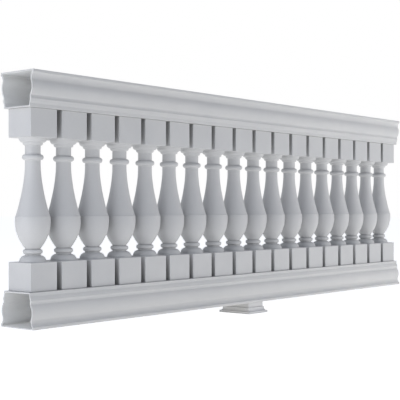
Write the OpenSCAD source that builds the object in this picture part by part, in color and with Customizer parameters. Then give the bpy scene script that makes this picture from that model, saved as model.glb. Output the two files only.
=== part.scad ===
// Fiberglass balustrade section, open at both ends.
// X runs along the rails, Y across them and Z up.
// The origin is the centre of the foot's underside.

/* [Balusters] */
// Number of balusters in the section
baluster_count = 18; // [4:1:24]
// Side of the square block at each end of a baluster
block_w = 127; // [106:0.5:155]
// Clear gap between the blocks of two neighbours
block_gap = 25.4; // [15:0.1:80]
// Least clear gap between the bellies of two neighbours
belly_gap = 12; // [5:0.5:30]
// Height of the lower block
lower_block_h = 107; // [80:1:160]
// Height of the turned part between the blocks
turned_h = 461; // [380:1:620]
// Height of the upper block
upper_block_h = 107; // [80:1:160]
// Radius on the edges of the blocks
block_edge_r = 2.5; // [1:0.5:6]

/* [Turned profile] */
// Radius of the plain neck
neck_r = 29; // [22:0.5:35]
// Radius of the base swell where it sits on the lower block
base_r = 50.5; // [40:0.5:52]
// Height of the base swell
base_h = 24; // [16:0.5:32]
// Height of the short neck between the base swell and the lower ring
base_neck_h = 5; // [2:0.5:12]
// Radius of the lower ring
lower_ring_r = 37; // [36:0.5:44]
// Height of the lower ring
lower_ring_h = 18; // [12:0.5:24]
// Radius at the foot of the bowl
bowl_foot_r = 27; // [20:0.5:34]
// Height of the bowl, from the lower ring to its edge
bowl_h = 123; // [90:1:150]
// Radius of the belly at its widest
belly_r = 65.8; // [50:0.1:80]
// Radius where the concave sweep meets the edge of the bowl
shoulder_r = 63.4; // [45:0.1:65]
// Length of plain neck between the sweep and the upper ring
shaft_neck_h = 17; // [5:0.5:40]
// Radius of the upper ring
upper_ring_r = 40; // [36:0.5:46]
// Height of the upper ring
upper_ring_h = 22; // [14:0.5:28]
// Length of plain neck between the upper ring and the capital
upper_neck_h = 33; // [10:0.5:50]
// Radius of the small round at the bottom of the capital
collar_r = 38; // [36:0.5:42]
// Height of the small round at the bottom of the capital
collar_h = 11; // [6:0.5:16]
// Radius of the capital where it meets the upper block
capital_r = 52.5; // [44:0.5:53]
// Height of the large round of the capital
capital_h = 17; // [10:0.5:24]

/* [Rails] */
// Length of rail past the end blocks
rail_overhang = 12.7; // [5:0.1:60]
// Wall of the hollow rail moulding
rail_wall = 4.8; // [3:0.1:8]
// Overhang of the plain fillet beside the blocks
fillet_out = 10; // [9:0.5:13]
// Height of the plain fillet
fillet_h = 13; // [8:0.5:24]
// Height of the slope from the fillet to the band
slope_h = 9; // [5:0.5:16]
// Overhang of the band that carries the bead
band_out = 14.2; // [13:0.1:16]
// Plain height of the band before the bead
band_h = 2.6; // [1:0.1:8]
// Radius of the bead
bead_r = 8; // [5:0.5:12]
// Overhang of the bead at its widest
bead_out = 16.3; // [16:0.1:18]
// Plain height between the bead and the bulge
notch_h = 7.5; // [3:0.5:14]
// Radius of the bulge
bulge_r = 52; // [40:0.5:64]
// Overhang of the bulge at its widest
bulge_out = 24.6; // [20:0.1:28]
// Radius of the hollow that leads from the bulge to the recess
hollow_r = 18; // [8:0.5:30]
// Overhang of the recess beyond the bulge
recess_out = 18.1; // [16:0.1:19]
// Height of the recess
recess_h = 0.5; // [0.5:0.5:20]
// Height of the hollow flare between the recess and the flange
flare_h = 20; // [12:0.5:40]
// Overhang of the outer flange
flange_out = 29.6; // [24:0.1:40]
// Thickness of the outer flange
flange_h = 11; // [5:0.5:16]
// Radius on the flange's corners
flange_edge_r = 2.5; // [1:0.5:4]

/* [Foot] */
// Height of the foot
foot_h = 52; // [44:1:90]
// Length of the foot's base along the rail
foot_len = 146; // [110:1:200]
// Width of the foot's base across the rail
foot_width = 180; // [140:1:220]
// Thickness of the base plate
foot_plate_h = 10; // [6:0.5:14]
// Step in from the edge of the plate to the moulding on it
foot_step = 5; // [2:0.5:8]
// Height of the hollow in the foot's moulding, and twice its width
foot_cove = 14; // [6:0.5:16]
// Height of the plain lip above the hollow
foot_lip_h = 4; // [2:0.5:8]
// Step in from the lip to the foot's block
foot_block_step = 5; // [2:0.5:12]

/* [Hidden] */
$fn = 64;
eps = 0.01;

baluster_h = lower_block_h + turned_h + upper_block_h;
pitch = max(block_w + block_gap, 2 * belly_r + belly_gap);
first_x = -(baluster_count - 1) * pitch / 2;
rail_len = (baluster_count - 1) * pitch + block_w + 2 * rail_overhang;

// Heights on the turned part, measured from the top of the lower block
lower_ring_z = base_h + base_neck_h;
bowl_z = lower_ring_z + lower_ring_h;
shoulder_z = bowl_z + bowl_h;
capital_z = turned_h - capital_h;
collar_z = capital_z - collar_h;
upper_ring_z = collar_z - upper_neck_h - upper_ring_h;
sweep_h = upper_ring_z - shaft_neck_h - shoulder_z;

// Shape of the bowl and the sweep
bowl_wide_at = 0.84;
bowl_power = 2.15;
bowl_edge_in = 0.8;
sweep_power = 1.67;
collar_step = 1;

// Centres of the bead, the bulge and the hollow, as overhangs
bead_u = bead_out - bead_r;
bulge_u = bulge_out - bulge_r;
hollow_u = recess_out + hollow_r;
// Half angle of the bead, and the angles of the bulge below and above its centre
bead_a = acos((band_out - bead_u) / bead_r);
bulge_low_a = acos((band_out - bulge_u) / bulge_r);
bulge_high_a = acos((hollow_u - bulge_u) / (bulge_r + hollow_r));

// Heights on a rail, measured from the balusters' side
band_z = fillet_h + slope_h;
bead_z = band_z + band_h + bead_r * sin(bead_a);
bulge_z = bead_z + bead_r * sin(bead_a) + notch_h + bulge_r * sin(bulge_low_a);
hollow_z = bulge_z + (bulge_r + hollow_r) * sin(bulge_high_a);
flare_z = hollow_z + recess_h;
flange_z = flare_z + flare_h;
// The flare is an arc, upright at the recess
flare_out = flange_out - recess_out;
flare_r = (flare_out ^ 2 + flare_h ^ 2) / (2 * flare_out);
// The flange is thick enough for the wall to turn its corner inside
flange_t = max(flange_h, rail_wall + flare_rise(rail_wall) - flare_h + eps);
rail_h = flange_z + flange_t;

// Heights of the pieces above the ground
lower_rail_z = foot_h;
baluster_z = lower_rail_z + rail_h;
upper_rail_z = baluster_z + baluster_h;

// Points on each curve
round_steps = 10;
curve_steps = 16;
corner_steps = 4;

function baluster_name(i) = str("baluster_", i < 10 ? "0" : "", i);

// Arc about [u, z] from angle from_a to angle to_a
function arc_points(u, z, r, from_a, to_a, steps) = [
    for (i = [0:steps])
        let (a = from_a + (to_a - from_a) * i / steps)
        [u + r * cos(a), z + r * sin(a)]
];

// Half round that stands out of a neck, from height z to z + h
function ring_points(z, h, r) = [
    for (i = [0:round_steps])
        let (a = 180 * i / round_steps)
        [neck_r + (r - neck_r) * sin(a), z + h / 2 * (1 - cos(a))]
];

// Quarter round that narrows upwards, from r_low to r_high
function dome_points(z, h, r_low, r_high) = [
    for (i = [0:round_steps])
        let (a = 90 * i / round_steps)
        [r_high + (r_low - r_high) * cos(a), z + h * sin(a)]
];

// Quarter round that widens upwards, from r_low to r_high
function cup_points(z, h, r_low, r_high) = [
    for (i = [0:round_steps])
        let (a = 90 * i / round_steps)
        [r_low + (r_high - r_low) * sin(a), z + h * (1 - cos(a))]
];

// Radius of the bowl at the share t of its height
function bowl_radius(t) =
    t < bowl_wide_at
        ? belly_r - (belly_r - bowl_foot_r) * pow(1 - t / bowl_wide_at, bowl_power)
        : belly_r - bowl_edge_in * pow((t - bowl_wide_at) / (1 - bowl_wide_at), 2);

function bowl_points() = [
    for (i = [0:curve_steps])
        let (t = i / curve_steps)
        [bowl_radius(t), bowl_z + bowl_h * t]
];

// Concave sweep from the edge of the bowl up to the plain neck
function sweep_points() = [
    for (i = [0:curve_steps])
        let (t = i / curve_steps)
        [neck_r + (shoulder_r - neck_r) * pow(1 - t, sweep_power), shoulder_z + sweep_h * t]
];

module turned_part() {
    rotate_extrude($fn = 96)
        polygon(concat(
            [[0, -eps], [base_r, -eps]],
            dome_points(0, base_h, base_r, neck_r),
            ring_points(lower_ring_z, lower_ring_h, lower_ring_r),
            bowl_points(),
            sweep_points(),
            ring_points(upper_ring_z, upper_ring_h, upper_ring_r),
            [[neck_r, collar_z]],
            cup_points(collar_z, collar_h, neck_r + collar_step, collar_r),
            cup_points(capital_z, capital_h, collar_r + collar_step, capital_r),
            [[capital_r, turned_h + eps], [0, turned_h + eps]]
        ));
}

module rounded_rectangle(w, h, r) {
    square([w - 2 * r, h], center = true);
    square([w, h - 2 * r], center = true);
    for (x = [-1, 1], y = [-1, 1])
        translate([x * (w / 2 - r), y * (h / 2 - r)])
            circle(r = r);
}

// Square block with all its edges rounded, standing on z = 0
module block(h) {
    translate([0, 0, h / 2])
        intersection() {
            linear_extrude(h + 2 * eps, center = true)
                rounded_rectangle(block_w, block_w, block_edge_r);
            rotate([90, 0, 0])
                linear_extrude(block_w + 2 * eps, center = true)
                    rounded_rectangle(block_w, h, block_edge_r);
            rotate([90, 0, 90])
                linear_extrude(block_w + 2 * eps, center = true)
                    rounded_rectangle(block_w, h, block_edge_r);
        }
}

module baluster() {
    block(lower_block_h);
    translate([0, 0, lower_block_h])
        turned_part();
    translate([0, 0, lower_block_h + turned_h])
        block(upper_block_h);
}

// How far a corner moves along the upright below a slope when the wall moves in by t
function corner_shift(out, up, t) = t * tan(atan2(out, up) / 2);

// The bead and the rounded corner are on the outside only
function bead_points(t) = t > 0
    ? []
    : arc_points(bead_u, bead_z, bead_r, -bead_a, bead_a, round_steps);

function bulge_points(t) =
    let (r = bulge_r - t)
    let (low_a = acos((band_out - t - bulge_u) / r))
    arc_points(bulge_u, bulge_z, r, -low_a, bulge_high_a, curve_steps);

function hollow_points(t) = [
    for (i = [1:corner_steps])
        let (a = 180 + bulge_high_a * (1 - i / corner_steps))
        [hollow_u + (hollow_r + t) * cos(a), hollow_z + (hollow_r + t) * sin(a)]
];

// Angle that the flare turns through when the wall moves in by t, and how high it rises
function flare_angle(t) = acos(1 - flare_out / (flare_r + t));
function flare_rise(t) = (flare_r + t) * sin(flare_angle(t));

function flare_points(t) = arc_points(
    recess_out + flare_r,
    flare_z,
    flare_r + t,
    180,
    180 - flare_angle(t),
    round_steps
);

function flange_corner_points(t) = t > 0
    ? [[flange_out - t, rail_h - t]]
    : arc_points(
        flange_out - flange_edge_r,
        rail_h - flange_edge_r,
        flange_edge_r,
        0,
        90,
        corner_steps
    );

// One side of a rail, moved in by t, from the balusters' side at z = 0 outwards.
// Each point is [overhang beyond the blocks, height].
function side_points(t) =
    let (slope_shift = corner_shift(band_out - fillet_out, slope_h, t))
    concat(
        [[fillet_out - t, t]],
        [[fillet_out - t, fillet_h + slope_shift]],
        [[band_out - t, band_z + slope_shift]],
        bead_points(t),
        bulge_points(t),
        hollow_points(t),
        flare_points(t),
        flange_corner_points(t)
    );

module rail_outline(t) {
    side = side_points(t);
    half = block_w / 2;
    polygon(concat(
        [for (p = side) [half + p[0], p[1]]],
        [for (i = [len(side) - 1:-1:0]) [-half - side[i][0], side[i][1]]]
    ));
}

module rail() {
    translate([-rail_len / 2, 0, 0])
        rotate([90, 0, 90])
            difference() {
                linear_extrude(rail_len)
                    rail_outline(0);
                translate([0, 0, -1])
                    linear_extrude(rail_len + 2)
                        rail_outline(rail_wall);
            }
}

// One side of the foot as [distance from its middle, height], for a plate of half width half
function foot_side(half) =
    let (hollow_half = half - foot_step)
    let (lip_half = hollow_half - foot_cove / 2)
    let (lip_z = foot_plate_h + foot_cove)
    concat(
        [[half, 0], [half, foot_plate_h]],
        [for (i = [0:round_steps])
            let (a = 90 * i / round_steps)
            [hollow_half - foot_cove / 2 * sin(a), lip_z - foot_cove * cos(a)]],
        [[lip_half, lip_z + foot_lip_h]],
        [[lip_half - foot_block_step, lip_z + foot_lip_h]],
        [[lip_half - foot_block_step, foot_h]]
    );

module foot_outline(w) {
    side = foot_side(w / 2);
    polygon(concat(
        side,
        [for (i = [len(side) - 1:-1:0]) [-side[i][0], side[i][1]]]
    ));
}

module top_rail() {
    color("whitesmoke")
        translate([0, 0, upper_rail_z])
            rail();
}

module bottom_rail() {
    color("whitesmoke")
        translate([0, 0, lower_rail_z + rail_h])
            mirror([0, 0, 1])
                rail();
}

module centre_foot() {
    color("gainsboro")
        intersection() {
            rotate([90, 0, 0])
                linear_extrude(foot_width, center = true)
                    foot_outline(foot_len);
            rotate([90, 0, 90])
                linear_extrude(foot_len, center = true)
                    foot_outline(foot_width);
        }
}

module numbered_baluster(i) {
    color("white")
        translate([first_x + (i - 1) * pitch, 0, baluster_z])
            baluster();
}

top_rail();
bottom_rail();
centre_foot();
for (i = [1:baluster_count])
    numbered_baluster(i);
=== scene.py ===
import math

import bpy
import numpy as np
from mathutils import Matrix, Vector, noise
from mathutils.geometry import tessellate_polygon


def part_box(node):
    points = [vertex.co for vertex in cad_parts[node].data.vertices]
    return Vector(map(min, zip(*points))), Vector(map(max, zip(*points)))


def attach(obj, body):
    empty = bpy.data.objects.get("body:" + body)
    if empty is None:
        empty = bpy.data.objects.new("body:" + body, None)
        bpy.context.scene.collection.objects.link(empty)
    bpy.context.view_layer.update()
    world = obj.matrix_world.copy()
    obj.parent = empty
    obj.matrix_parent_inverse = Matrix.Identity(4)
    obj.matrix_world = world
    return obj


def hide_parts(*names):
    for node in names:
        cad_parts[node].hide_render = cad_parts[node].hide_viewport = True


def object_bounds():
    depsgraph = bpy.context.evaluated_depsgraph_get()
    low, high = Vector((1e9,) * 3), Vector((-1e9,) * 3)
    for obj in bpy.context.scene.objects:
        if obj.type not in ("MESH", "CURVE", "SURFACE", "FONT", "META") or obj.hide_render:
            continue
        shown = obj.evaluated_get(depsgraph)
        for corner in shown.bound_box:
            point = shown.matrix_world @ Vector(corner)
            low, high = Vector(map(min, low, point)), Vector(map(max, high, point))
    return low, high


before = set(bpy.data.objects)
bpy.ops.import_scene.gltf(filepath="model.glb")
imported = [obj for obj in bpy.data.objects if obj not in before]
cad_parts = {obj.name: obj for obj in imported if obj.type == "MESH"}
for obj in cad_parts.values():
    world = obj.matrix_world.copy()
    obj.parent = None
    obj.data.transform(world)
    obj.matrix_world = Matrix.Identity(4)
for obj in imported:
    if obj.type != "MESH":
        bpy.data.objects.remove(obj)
cad_low, cad_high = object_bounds()

MM = 0.001

# ---------------------------------------------------------------- lines


def arc(u, z, r, start, end, steps):
    """Points on an arc about (u, z), angles in degrees."""
    angles = np.radians(np.linspace(start, end, steps + 1))
    return [(u + r * math.cos(a), z + r * math.sin(a)) for a in angles]


def resampled(points, spacing, closed):
    """The same line with points at even spacing."""
    p = np.array(points, float)
    if closed:
        p = np.vstack([p, p[:1]])
    step = np.linalg.norm(np.diff(p, axis=0), axis=1)
    p = p[np.concatenate([[True], step > 1e-9])]
    along = np.concatenate([[0], np.cumsum(np.linalg.norm(np.diff(p, axis=0), axis=1))])
    count = max(8, int(round(along[-1] / spacing)))
    at = np.linspace(0, along[-1], count + 1)
    line = np.column_stack([np.interp(at, along, p[:, k]) for k in range(2)])
    return line[:-1] if closed else line


def softened(points, spacing, reach, closed):
    """Rounds every corner of a line as a mould's are. reach is about the radius it gives."""
    line = resampled(points, spacing, closed)
    half = int(math.ceil(3 * reach / spacing))
    weights = np.exp(-0.5 * (np.arange(-half, half + 1) * spacing / reach) ** 2)
    weights /= weights.sum()
    if closed:
        wide = np.vstack([line[-half:], line, line[:half]])
    else:
        before = line[0] + (line[0] - line[1:half + 1])[::-1]
        after = line[-1] + (line[-1] - line[-half - 1:-1])[::-1]
        wide = np.vstack([before, line, after])
    return np.column_stack([np.convolve(wide[:, k], weights, "valid") for k in range(2)])


def thinned(line, tolerance):
    """Leaves out the points that a straight stretch doesn't need."""
    keep = {0, len(line) - 1}
    stack = [(0, len(line) - 1)]
    while stack:
        a, b = stack.pop()
        if b - a < 2:
            continue
        chord = line[b] - line[a]
        length = np.linalg.norm(chord)
        rest = line[a + 1:b] - line[a]
        if length < 1e-9:
            off = np.linalg.norm(rest, axis=1)
        else:
            off = np.abs(rest[:, 0] * chord[1] - rest[:, 1] * chord[0]) / length
        i = int(np.argmax(off))
        if off[i] > tolerance:
            keep.add(a + 1 + i)
            stack += [(a, a + 1 + i), (a + 1 + i, b)]
    return line[sorted(keep)]


def thinned_loop(line, tolerance):
    """The same for a closed line, halved at its first point and the point farthest from it."""
    far = int(np.argmax(np.linalg.norm(line - line[0], axis=1)))
    one = thinned(line[:far + 1], tolerance)
    two = thinned(np.vstack([line[far:], line[:1]]), tolerance)
    return np.vstack([one[:-1], two[:-1]])


# ---------------------------------------------------------------- meshes

SHARP_ANGLE = 38

# Points round a baluster: a quarter is a side, a corner and a side
SIDE_POINTS = 9
CORNER_POINTS = 7
AROUND = 4 * (2 * SIDE_POINTS + CORNER_POINTS - 1)

# Rings over the rounded edge of a block, and its least corner radius in mm
EDGE_STEPS = 5
LEAST_CORNER = 0.25


def new_piece(name, verts, faces, slots, face_slots=None):
    """A smooth-shaded mesh object riding on the one body."""
    mesh = bpy.data.meshes.new(name)
    mesh.from_pydata([tuple(v) for v in verts], [], [tuple(f) for f in faces])
    mesh.validate()
    mesh.update()
    for material in slots:
        mesh.materials.append(material)
    if face_slots is not None:
        mesh.polygons.foreach_set("material_index", face_slots)
    mesh.shade_smooth()
    mesh.set_sharp_from_angle(angle=math.radians(SHARP_ANGLE))
    piece = bpy.data.objects.new(name, mesh)
    bpy.context.scene.collection.objects.link(piece)
    shade = piece.modifiers.new("even_shading", "WEIGHTED_NORMAL")
    shade.weight = 100
    shade.keep_sharp = True
    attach(piece, "root")
    return piece


def skin(count, rings, first=0, inside_out=False):
    """Faces between rings of count points each, numbered from first."""
    faces = []
    for k in range(rings - 1):
        a = first + k * count
        b = a + count
        for i in range(count):
            j = (i + 1) % count
            if inside_out:
                faces.append((a + j, a + i, b + i, b + j))
            else:
                faces.append((a + i, a + j, b + j, b + i))
    return faces


def lofted(rings):
    """A closed skin over rings of equal count, capped at both ends."""
    count = len(rings[0])
    faces = skin(count, len(rings))
    last = (len(rings) - 1) * count
    faces.append(tuple(range(count - 1, -1, -1)))
    faces.append(tuple(last + i for i in range(count)))
    return np.vstack(rings), faces


def square_ring(half_x, half_y, corner, z):
    """A rounded rectangle, starting at the middle of its +X side."""
    ring = []
    for turn, (hx, hy) in enumerate([(half_x, half_y), (half_y, half_x)] * 2):
        side_a = [(hx, (hy - corner) * k / SIDE_POINTS) for k in range(SIDE_POINTS)]
        bend = [
            (hx - corner + corner * math.cos(a), hy - corner + corner * math.sin(a))
            for a in (math.pi / 2 * k / (CORNER_POINTS - 1) for k in range(CORNER_POINTS))
        ]
        side_b = [((hx - corner) * (1 - k / SIDE_POINTS), hy) for k in range(1, SIDE_POINTS)]
        c, s = [(1, 0), (0, 1), (-1, 0), (0, -1)][turn]
        ring += [(x * c - y * s, x * s + y * c, z) for x, y in side_a + bend + side_b]
    return np.array(ring)


def round_ring(r, z):
    """A circle with as many points as a square ring, starting on the +X side."""
    a = np.arange(AROUND) * 2 * math.pi / AROUND
    return np.column_stack([r * np.cos(a), r * np.sin(a), np.full(AROUND, z)])


def block_rings(half, z_low, z_high, edge):
    """Rings of a square block whose edges are rounded, from its underside to its top."""
    bend = []
    for k in range(EDGE_STEPS + 1):
        a = math.pi / 2 * k / EDGE_STEPS
        inset, rise = edge * (1 - math.sin(a)), edge * (1 - math.cos(a))
        bend.append((half - inset, max(edge - inset, LEAST_CORNER), rise))
    lower = [square_ring(h, h, corner, z_low + rise) for h, corner, rise in bend]
    upper = [square_ring(h, h, corner, z_high - rise) for h, corner, rise in reversed(bend)]
    return lower + upper


# ---------------------------------------------------------------- materials

# How much darker than the soil colour the painted shade in the deepest creases and gaps is
PAINTED_SHADE_TONE = 0.7


def new_material(name):
    """A new material with its node tree, its shader and the object's coordinates."""
    material = bpy.data.materials.new(name)
    material.use_nodes = True
    tree = material.node_tree
    where = tree.nodes.new("ShaderNodeTexCoord").outputs["Object"]
    return material, tree, tree.nodes["Principled BSDF"], where


def ranged(tree, value, low, high, start=0.3, end=0.7):
    """Turns the range start to end of a value into low to high. Most noise lies in 0.3 to 0.7."""
    n = tree.nodes.new("ShaderNodeMapRange")
    tree.links.new(value, n.inputs["Value"])
    n.inputs["From Min"].default_value = start
    n.inputs["From Max"].default_value = end
    n.inputs["To Min"].default_value = low
    n.inputs["To Max"].default_value = high
    return n.outputs["Result"]


def noise_node(tree, where, scale, detail, rough=0.5):
    """Noise of 0 to 1, with scale in cells per metre."""
    n = tree.nodes.new("ShaderNodeTexNoise")
    tree.links.new(where, n.inputs["Vector"])
    n.inputs["Scale"].default_value = scale
    n.inputs["Detail"].default_value = detail
    n.inputs["Roughness"].default_value = rough
    return n.outputs["Fac"]


def highest(tree, a, b):
    """The higher of two values."""
    n = tree.nodes.new("ShaderNodeMath")
    n.operation = "MAXIMUM"
    tree.links.new(a, n.inputs[0])
    tree.links.new(b, n.inputs[1])
    return n.outputs[0]


def mixed(tree, factor, a, b):
    """A colour from a to b by the factor. Each of a and b is a colour or a socket."""
    n = tree.nodes.new("ShaderNodeMix")
    n.data_type = "RGBA"
    colours = [s for s in n.inputs if s.type == "RGBA"]
    for socket, value in ((n.inputs[0], factor), (colours[0], a), (colours[1], b)):
        if isinstance(value, bpy.types.NodeSocket):
            tree.links.new(value, socket)
        else:
            socket.default_value = value
    return [s for s in n.outputs if s.type == "RGBA"][0]


def bumped(tree, height, strength, distance, under=None):
    """A normal bumped by a height, on top of another normal where one is given."""
    n = tree.nodes.new("ShaderNodeBump")
    n.inputs["Strength"].default_value = strength
    n.inputs["Distance"].default_value = distance
    tree.links.new(height, n.inputs["Height"])
    if under is not None:
        tree.links.new(under, n.inputs["Normal"])
    return n.outputs["Normal"]


def let_light_in(shader):
    """Light passes a little through the thin wall of the rails."""
    shader.inputs["Subsurface Weight"].default_value = 0.5
    shader.inputs["Subsurface Radius"].default_value = (1.0, 1.0, 1.0)
    shader.inputs["Subsurface Scale"].default_value = 0.006


def gelcoat(name, light, dark, soil_and_shade):
    """Sprayed gelcoat: near-even colour, slight cloudiness, specks of soil, orange peel, and
    painted shade darkening creases and the gaps between parts.
    """
    material, tree, shader, where = new_material(name)
    cloud = noise_node(tree, where, scale=5.5, detail=4, rough=0.55)
    speck = noise_node(tree, where, scale=210.0, detail=2)
    tone = mixed(tree, ranged(tree, cloud, 0, 1), light, dark)
    tone = mixed(tree, ranged(tree, speck, 0, 0.12), tone, soil_and_shade)
    # Painted shade: where an ambient-occlusion probe finds the surface hemmed in (creases,
    # joints, gaps between parts), the colour darkens towards a dark shade of the soil colour
    occlusion = tree.nodes.new("ShaderNodeAmbientOcclusion")
    occlusion.samples = 8
    occlusion.inputs["Distance"].default_value = 0.06
    painted_shade = ranged(tree, occlusion.outputs["AO"], 1.0, 0.0, start=0.2, end=0.62)
    tone = mixed(tree, painted_shade, tone, [c * PAINTED_SHADE_TONE for c in soil_and_shade[:3]] + [1])
    tree.links.new(tone, shader.inputs["Base Color"])
    smear = noise_node(tree, where, scale=26.0, detail=3)
    tree.links.new(ranged(tree, smear, 0.46, 0.6), shader.inputs["Roughness"])
    shader.inputs["Specular IOR Level"].default_value = 0.35
    peel = noise_node(tree, where, scale=420.0, detail=2)
    wave = noise_node(tree, where, scale=14.0, detail=1)
    normal = bumped(tree, peel, strength=0.12, distance=0.0006)
    normal = bumped(tree, wave, strength=0.15, distance=0.002, under=normal)
    tree.links.new(normal, shader.inputs["Normal"])
    return material


def laminate(name, light, dark):
    """Bare chopped-strand laminate: matt, with short strands under resin."""
    material, tree, shader, where = new_material(name)
    strands = None
    for turn in ((0.2, 0.5, 0.3), (1.3, 0.1, 1.9), (2.2, 1.1, 0.8)):
        spin = tree.nodes.new("ShaderNodeMapping")
        tree.links.new(where, spin.inputs["Vector"])
        spin.inputs["Rotation"].default_value = turn
        spin.inputs["Scale"].default_value = (60.0, 620.0, 620.0)
        layer = noise_node(tree, spin.outputs["Vector"], scale=1.0, detail=1)
        strands = layer if strands is None else highest(tree, strands, layer)
    patch = noise_node(tree, where, scale=9.0, detail=3)
    tone = mixed(tree, ranged(tree, strands, 0, 1), light, dark)
    tone = mixed(tree, ranged(tree, patch, 0, 0.5), tone, dark)
    tree.links.new(tone, shader.inputs["Base Color"])
    tree.links.new(ranged(tree, strands, 0.5, 0.75), shader.inputs["Roughness"])
    shader.inputs["Specular IOR Level"].default_value = 0.3
    let_light_in(shader)
    normal = bumped(tree, strands, strength=0.35, distance=0.0012)
    tree.links.new(normal, shader.inputs["Normal"])
    return material


# The rails' gelcoat is set lighter than the balusters' as painted light, brightening the rails as
# more light on them would
rail_gelcoat = gelcoat(
    "rail_gelcoat",
    light=(0.66, 0.655, 0.65, 1),
    dark=(0.63, 0.63, 0.63, 1),
    soil_and_shade=(0.53, 0.53, 0.525, 1),
)
let_light_in(rail_gelcoat.node_tree.nodes["Principled BSDF"])
baluster_gelcoat = gelcoat(
    "baluster_gelcoat",
    light=(0.62, 0.62, 0.62, 1),
    dark=(0.59, 0.59, 0.595, 1),
    soil_and_shade=(0.48, 0.48, 0.475, 1),
)
# The foot's gelcoat is set lighter than the balusters' as painted light, making up for the shade
# on its sides under the bottom rail
foot_gelcoat = gelcoat(
    "foot_gelcoat",
    light=(0.73, 0.73, 0.735, 1),
    dark=(0.70, 0.70, 0.71, 1),
    soil_and_shade=(0.62, 0.62, 0.62, 1),
)
rail_laminate = laminate(
    "rail_laminate", light=(0.92, 0.92, 0.91, 1), dark=(0.85, 0.85, 0.84, 1)
)

# ---------------------------------------------------------------- balusters

# In mm: a block's height, the radius of its rounded edges, and the neck's radius
BLOCK_H = 107
EDGE_R = 2
NECK_R = 29


def ring_line(z, h, r):
    """A half-round ring standing out of the neck."""
    a = np.linspace(0, math.pi, 21)
    return list(zip(NECK_R + (r - NECK_R) * np.sin(a), z + h / 2 * (1 - np.cos(a))))


def dome_line(z, h, r_low, r_high):
    """A quarter round that bulges as it narrows upward."""
    a = np.linspace(0, math.pi / 2, 17)
    return list(zip(r_high + (r_low - r_high) * np.cos(a), z + h * np.sin(a)))


def cup_line(z, h, r_low, r_high):
    """A quarter round that bulges as it widens upward."""
    a = np.linspace(0, math.pi / 2, 17)
    return list(zip(r_low + (r_high - r_low) * np.sin(a), z + h * (1 - np.cos(a))))


def turned_line(height):
    """Radius and height up the turned part, in mm from the top of the lower block."""
    on_block_r = 56
    swell_r, swell_h = 50.5, 24
    low_ring_z, low_ring_h, low_ring_r = 29, 18, 37
    bowl_z, bowl_h = 47, 123
    foot_r, belly_r, shoulder_r = 27.0, 65.8, 63.4
    belly_at, belly_power, past_belly = 0.84, 2.15, 0.8
    sweep_power = 1.67
    neck_under_ring, neck_over_ring = 17, 33
    high_ring_h, high_ring_r = 22, 40
    collar_h, collar_r = 11, 38
    capital_h, capital_r = 17, 52.5
    step = 1

    capital_z = height - capital_h
    collar_z = capital_z - collar_h
    high_ring_z = collar_z - neck_over_ring - high_ring_h
    sweep_z = bowl_z + bowl_h
    sweep_h = high_ring_z - neck_under_ring - sweep_z
    t = np.linspace(0, 1, 49)
    low = np.clip(1 - t / belly_at, 0, 1) ** belly_power
    high = (np.clip(t - belly_at, 0, 1) / (1 - belly_at)) ** 2
    bowl_r = belly_r - (belly_r - foot_r) * low - past_belly * high
    sweep_r = NECK_R + (shoulder_r - NECK_R) * (1 - t) ** sweep_power
    return (
        [(on_block_r, 0), (swell_r, 0)]
        + dome_line(0, swell_h, swell_r, NECK_R)
        + ring_line(low_ring_z, low_ring_h, low_ring_r)
        + list(zip(bowl_r, bowl_z + bowl_h * t))
        + list(zip(sweep_r, sweep_z + sweep_h * t))
        + ring_line(high_ring_z, high_ring_h, high_ring_r)
        + [(NECK_R, collar_z)]
        + cup_line(collar_z, collar_h, NECK_R + step, collar_r)
        + cup_line(capital_z, capital_h, collar_r + step, capital_r)
        + [(capital_r, height), (on_block_r, height)]
    )


def baluster_rings(half, height):
    """Rings of a whole baluster, from the underside of its lower block, in mm."""
    turned_h = height - 2 * BLOCK_H
    line = thinned(softened(turned_line(turned_h), 0.6, 1.0, False), 0.06)
    rings = block_rings(half, 0, BLOCK_H, EDGE_R)
    rings += [round_ring(r, BLOCK_H + z) for r, z in line]
    rings += block_rings(half, BLOCK_H + turned_h, height, EDGE_R)
    return rings


# How far the rails' flange stands out beyond the blocks, in mm
FLANGE_OUT = 29.6

rail_low, rail_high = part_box("top_rail")
half_block = (rail_high.y - rail_low.y) / 2 / MM - FLANGE_OUT
first_low, first_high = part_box("baluster_01")
baluster_h = (first_high.z - first_low.z) / MM
baluster_verts, baluster_faces = lofted(baluster_rings(half_block, baluster_h))
for name in sorted(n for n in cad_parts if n.startswith("baluster_")):
    low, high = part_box(name)
    place = np.array([(low.x + high.x) / 2, (low.y + high.y) / 2, low.z])
    verts = baluster_verts * MM + place
    piece = new_piece("turned_" + name, verts, baluster_faces, [baluster_gelcoat])
    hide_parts(name)

# ---------------------------------------------------------------- rails

# The wall, and how far the lines of the moulding stand out beyond the blocks, in mm
RAIL_WALL = 4.8
FILLET_OUT = 10
BAND_OUT = 14.2
RECESS_OUT = 18.1

# Heights of the moulding's parts, from the side that meets the balusters, in mm
FILLET_H = 13
SLOPE_H = 9
BAND_H = 2.6
NOTCH_H = 7.5
RECESS_H = 0.5
FLARE_H = 20
FLANGE_H = 11

# Radii and centres of its rounds, in mm
BEAD_OUT, BEAD_R = 8.3, 8
BULGE_OUT, BULGE_R = -27.4, 52
HOLLOW_R = 18
FLANGE_EDGE_R = 2.5

# How the surfaces are softened, and how much the ends are eased by the saw, in mm
OUTER_SOFT, INNER_SOFT = 0.8, 3.0
SAW_EASE = 0.5

GELCOAT_FACE, LAMINATE_FACE = 0, 1


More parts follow.
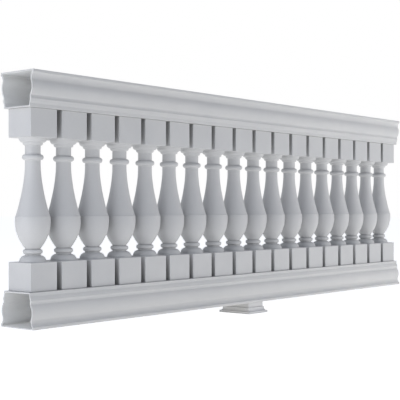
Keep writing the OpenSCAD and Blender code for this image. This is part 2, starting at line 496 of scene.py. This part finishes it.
def rail_side(t):
    """One side of a rail moved in by t, as (overhang, height) in mm, and the rail's height.

    The overhang is measured from the blocks' sides, the height from the balusters' side.
    """
    hollow_out = RECESS_OUT + HOLLOW_R
    bead_a = math.acos((BAND_OUT - BEAD_OUT) / BEAD_R)
    low_a = math.acos((BAND_OUT - BULGE_OUT) / BULGE_R)
    high_a = math.acos((hollow_out - BULGE_OUT) / (BULGE_R + HOLLOW_R))
    band_z = FILLET_H + SLOPE_H
    bead_z = band_z + BAND_H + BEAD_R * math.sin(bead_a)
    bulge_z = bead_z + BEAD_R * math.sin(bead_a) + NOTCH_H + BULGE_R * math.sin(low_a)
    hollow_z = bulge_z + (BULGE_R + HOLLOW_R) * math.sin(high_a)
    flare_z = hollow_z + RECESS_H
    flare_out = FLANGE_OUT - RECESS_OUT
    flare_r = (flare_out**2 + FLARE_H**2) / (2 * flare_out)
    flare_turn = math.degrees(math.acos(1 - flare_out / (flare_r + t)))
    top = flare_z + FLARE_H + FLANGE_H

    slope = t * math.tan(math.atan2(BAND_OUT - FILLET_OUT, SLOPE_H) / 2)
    line = [
        (FILLET_OUT - t, t),
        (FILLET_OUT - t, FILLET_H + slope),
        (BAND_OUT - t, band_z + slope),
    ]
    if t == 0:
        turn = math.degrees(bead_a)
        line += arc(BEAD_OUT, bead_z, BEAD_R, -turn, turn, 16)
    start = math.degrees(math.acos((BAND_OUT - t - BULGE_OUT) / (BULGE_R - t)))
    end = math.degrees(high_a)
    line += arc(BULGE_OUT, bulge_z, BULGE_R - t, -start, end, 24)
    line += arc(hollow_out, hollow_z, HOLLOW_R + t, 180 + end, 180, 10)
    line += arc(RECESS_OUT + flare_r, flare_z, flare_r + t, 180, 180 - flare_turn, 20)
    if t == 0:
        edge = FLANGE_EDGE_R
        line += arc(FLANGE_OUT - edge, top - edge, edge, 0, 90, 6)
    else:
        line += [(FLANGE_OUT - t, top - t)]
    return line, top


def rail_loop(t, half, reach):
    """The rail's whole outline as a closed line of (across, up), anticlockwise from +X."""
    side, top = rail_side(t)
    points = [(half + u, z) for u, z in side] + [(-half - u, z) for u, z in reversed(side)]
    return thinned_loop(softened(points, 0.5, reach, True), 0.03), top


def inward(loop, distance):
    """The loop moved in by a small distance."""
    along = np.roll(loop, -1, axis=0) - np.roll(loop, 1, axis=0)
    along /= np.linalg.norm(along, axis=1)[:, None]
    return loop + np.column_stack([-along[:, 1], along[:, 0]]) * distance


def stations(length):
    """Places along a rail in mm, closer together near its open ends."""
    near = [2.5, 6, 10, 15, 21, 28, 36, 45, 55, 67, 80, 95, 112, 132, 155, 182, 215, 255, 300]
    middle = list(np.linspace(350, length - 350, 22))
    return near + middle + [length - v for v in reversed(near)]


def outer_rings(loop, length):
    """The gelcoat side of a rail, with the sawn edges eased."""
    eased = inward(loop, SAW_EASE)
    places = [(eased, 0), (loop, SAW_EASE)]
    places += [(loop, x) for x in stations(length)]
    places += [(loop, length - SAW_EASE), (eased, length)]
    return [[(x, y, z) for y, z in line] for line, x in places]


def inner_rings(loop, length, height):
    """The laminate side of a rail: lumps stand up to 1 mm into the hollow."""
    eased = inward(loop, -SAW_EASE)
    rings = []
    for x in [0, SAW_EASE] + stations(length) + [length - SAW_EASE, length]:
        ring = []
        for y, z in (eased if x in (0, length) else loop):
            where = Vector((x, y, z))
            lump = abs(0.45 * noise.noise(where / 9.0) + 0.5 * noise.noise(where / 38.0))
            out = Vector((y, z - height / 2)).normalized()
            ring.append((x, y - out.x * lump, z - out.y * lump))
        rings.append(ring)
    return rings


def end_faces(verts, out_ring, in_ring, towards_x):
    """The cut end between two rings of point numbers, facing along +X or -X."""
    flat = tessellate_polygon([
        [Vector((verts[i][1], verts[i][2], 0)) for i in ring] for ring in (out_ring, in_ring)
    ])
    index = out_ring + in_ring
    faces = []
    for tri in flat:
        tri = [index[i] for i in tri]
        p = [Vector(verts[i]) for i in tri]
        if ((p[1] - p[0]).cross(p[2] - p[0]).x > 0) != towards_x:
            tri.reverse()
        faces.append(tuple(tri))
    return faces


def rail(node_name, piece_name, upside_down):
    """A hollow rail, open at both ends, in place of its node."""
    low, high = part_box(node_name)
    height, length = (high.z - low.z) / MM, (high.x - low.x) / MM
    outer, top = rail_loop(0, half_block, OUTER_SOFT)
    inner, _ = rail_loop(RAIL_WALL, half_block, INNER_SOFT)
    outside = outer_rings(outer, length)
    inside = inner_rings(inner, length, top)
    verts = [v for ring in outside + inside for v in ring]

    n_out, n_in = len(outer), len(inner)
    offset = len(outside) * n_out
    faces = skin(n_out, len(outside))
    kinds = [GELCOAT_FACE] * len(faces)
    faces += skin(n_in, len(inside), first=offset, inside_out=True)
    kinds += [LAMINATE_FACE] * (len(faces) - len(kinds))
    for towards_x in (False, True):
        out_at = (len(outside) - 1) * n_out * towards_x
        in_at = offset + (len(inside) - 1) * n_in * towards_x
        out_ring = list(range(out_at, out_at + n_out))
        in_ring = list(range(in_at, in_at + n_in))
        faces += end_faces(verts, out_ring, in_ring, towards_x)
    kinds += [GELCOAT_FACE] * (len(faces) - len(kinds))

    verts = np.array(verts)
    verts[:, 2] *= height / top
    if upside_down:
        # Mirroring turns every face round, so each is turned back
        verts[:, 2] = height - verts[:, 2]
        faces = [tuple(reversed(f)) for f in faces]
    verts = verts * MM + np.array([low.x, (low.y + high.y) / 2, low.z])
    piece = new_piece(piece_name, verts, faces, [rail_gelcoat, rail_laminate], kinds)
    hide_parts(node_name)


rail("top_rail", "moulded_top_rail", False)
rail("bottom_rail", "moulded_bottom_rail", True)

# ---------------------------------------------------------------- foot

FOOT_CORNER_R = 1.6


def foot_line(height):
    """How far in from the base's edge, and the height, in mm."""
    plate_h, step, hollow_h, lip_h, block_step = 10, 5, 14, 4, 5
    low_edge, high_edge = 1.2, 1
    a = np.linspace(0, math.pi / 2, 17)
    hollow_in = step + hollow_h / 2 * np.sin(a)
    hollow_up = plate_h + hollow_h - hollow_h * np.cos(a)
    lip_in = step + hollow_h / 2
    lip_top = plate_h + hollow_h + lip_h
    return (
        [(low_edge, 0), (0, low_edge), (0, plate_h - high_edge), (high_edge, plate_h)]
        + list(zip(hollow_in, hollow_up))
        + [(lip_in, lip_top), (lip_in + block_step, lip_top), (lip_in + block_step, height)]
    )


foot_low, foot_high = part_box("centre_foot")
foot_h = (foot_high.z - foot_low.z) / MM
half_long = (foot_high.x - foot_low.x) / 2 / MM
half_wide = (foot_high.y - foot_low.y) / 2 / MM
foot_rings = []
for inset, z in thinned(softened(foot_line(foot_h), 0.4, 0.5, False), 0.03):
    inset, z = max(inset, 0), min(max(z, 0), foot_h)
    foot_rings.append(square_ring(half_long - inset, half_wide - inset, FOOT_CORNER_R, z))
foot_verts, foot_faces = lofted(foot_rings)
foot_place = np.array([
    (foot_low.x + foot_high.x) / 2, (foot_low.y + foot_high.y) / 2, foot_low.z
])
foot_verts = foot_verts * MM + foot_place
foot = new_piece("stepped_centre_foot", foot_verts, foot_faces, [foot_gelcoat])
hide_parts("centre_foot")

# ---------------------------------------------------------------- camera

scene = bpy.context.scene
camera_data = bpy.data.cameras.new("camera")
camera_data.sensor_width = 36
camera_data.lens = 86.24
camera_data.shift_y = 0.01934
camera_data.clip_end = 200
camera = bpy.data.objects.new("camera", camera_data)
scene.collection.objects.link(camera)
camera.location = (-3.6368, -2.764, 0.4953)
camera.rotation_euler = (math.radians(90), 0, math.radians(-50.166))
scene.camera = camera

# ---------------------------------------------------------------- floor and light

FLOOR_REACH = 40
FLOOR_GAP = 0.0005


def seen_ray(tree):
    """1 where a camera, glossy or transmission ray looks."""
    path = tree.nodes.new("ShaderNodeLightPath")
    total = highest(tree, path.outputs["Is Camera Ray"], path.outputs["Is Glossy Ray"])
    return highest(tree, total, path.outputs["Is Transmission Ray"])


def chosen(tree, unseen, seen):
    """The second shader for rays that look, and the first for rays that light."""
    n = tree.nodes.new("ShaderNodeMixShader")
    tree.links.new(seen_ray(tree), n.inputs[0])
    tree.links.new(unseen.outputs[0], n.inputs[1])
    tree.links.new(seen.outputs[0], n.inputs[2])
    return n.outputs[0]


def background(tree, colour, strength):
    """A world shader of one colour."""
    n = tree.nodes.new("ShaderNodeBackground")
    n.inputs["Color"].default_value = colour
    n.inputs["Strength"].default_value = strength
    return n


def softbox(name, at, to, size_x, size_y, power, colour):
    """A rectangular lamp that the camera doesn't see."""
    data = bpy.data.lights.new(name, "AREA")
    data.shape = "RECTANGLE"
    data.size, data.size_y = size_x, size_y
    data.energy = power
    data.color = colour
    lamp = bpy.data.objects.new(name, data)
    scene.collection.objects.link(lamp)
    lamp.location = at
    lamp.rotation_euler = (Vector(to) - Vector(at)).to_track_quat("-Z", "Y").to_euler()
    lamp.visible_camera = False


def lit_floor(name, x, y, z, size_x, size_y, level, colour):
    """Light as from a stretch of white floor: level 1 is floor lit to full white."""
    power = size_x * size_y * math.pi * level
    softbox(name, (x, y, z), (x, y, 1), size_x, size_y, power, colour)


floor_mesh = bpy.data.meshes.new("floor")
corners = [(-1, -1), (1, -1), (1, 1), (-1, 1)]
floor_mesh.from_pydata(
    [(x * FLOOR_REACH, y * FLOOR_REACH, 0) for x, y in corners], [], [(0, 1, 2, 3)]
)
floor = bpy.data.objects.new("floor", floor_mesh)
scene.collection.objects.link(floor)
floor.location.z = cad_low.z - FLOOR_GAP
floor_paper = bpy.data.materials.new("floor_paper")
floor_paper.use_nodes = True
tree = floor_paper.node_tree
paper = tree.nodes["Principled BSDF"]
paper.inputs["Base Color"].default_value = (0.85, 0.85, 0.85, 1)
paper.inputs["Roughness"].default_value = 1
paper.inputs["Specular IOR Level"].default_value = 0
glow = tree.nodes.new("ShaderNodeEmission")
glow.inputs["Strength"].default_value = 0.78
glowing_paper = tree.nodes.new("ShaderNodeAddShader")
tree.links.new(paper.outputs[0], glowing_paper.inputs[0])
tree.links.new(glow.outputs[0], glowing_paper.inputs[1])
surface = chosen(tree, paper, glowing_paper)
tree.links.new(surface, tree.nodes["Material Output"].inputs["Surface"])
floor_mesh.materials.append(floor_paper)

world = bpy.data.worlds.new("studio")
scene.world = world
world.use_nodes = True
tree = world.node_tree
tree.nodes.clear()
air = background(tree, (0.86, 0.945, 1.12, 1), 0.27)
white = background(tree, (1, 1, 1, 1), 1)
out = tree.nodes.new("ShaderNodeOutputWorld")
tree.links.new(chosen(tree, air, white), out.inputs["Surface"])

lit_floor("floor_light", 0, -0.5, 0.001, 9, 7, 0.54, (1, 0.975, 0.92))
softbox("left_light", (-7.0, -0.5, 7.5), (0, 0, 0.5), 5, 5, 110, (0.9, 0.95, 1.08))
softbox("left_lamp", (-3.5, -0.4, 0.5), (0, 0, 0.5), 1.6, 1.0, 18.5, (0.97, 0.985, 1.02))
lit_floor("left_floor_light", -7.5, 0, 0.002, 6.0, 8.0, 1.1, (1, 0.99, 0.97))
softbox("right_light", (3.2, -3.6, 0.7), (1.0, 0, 0.5), 2.0, 1.6, 66, (1, 0.99, 0.98))

scene.view_settings.view_transform = "Standard"
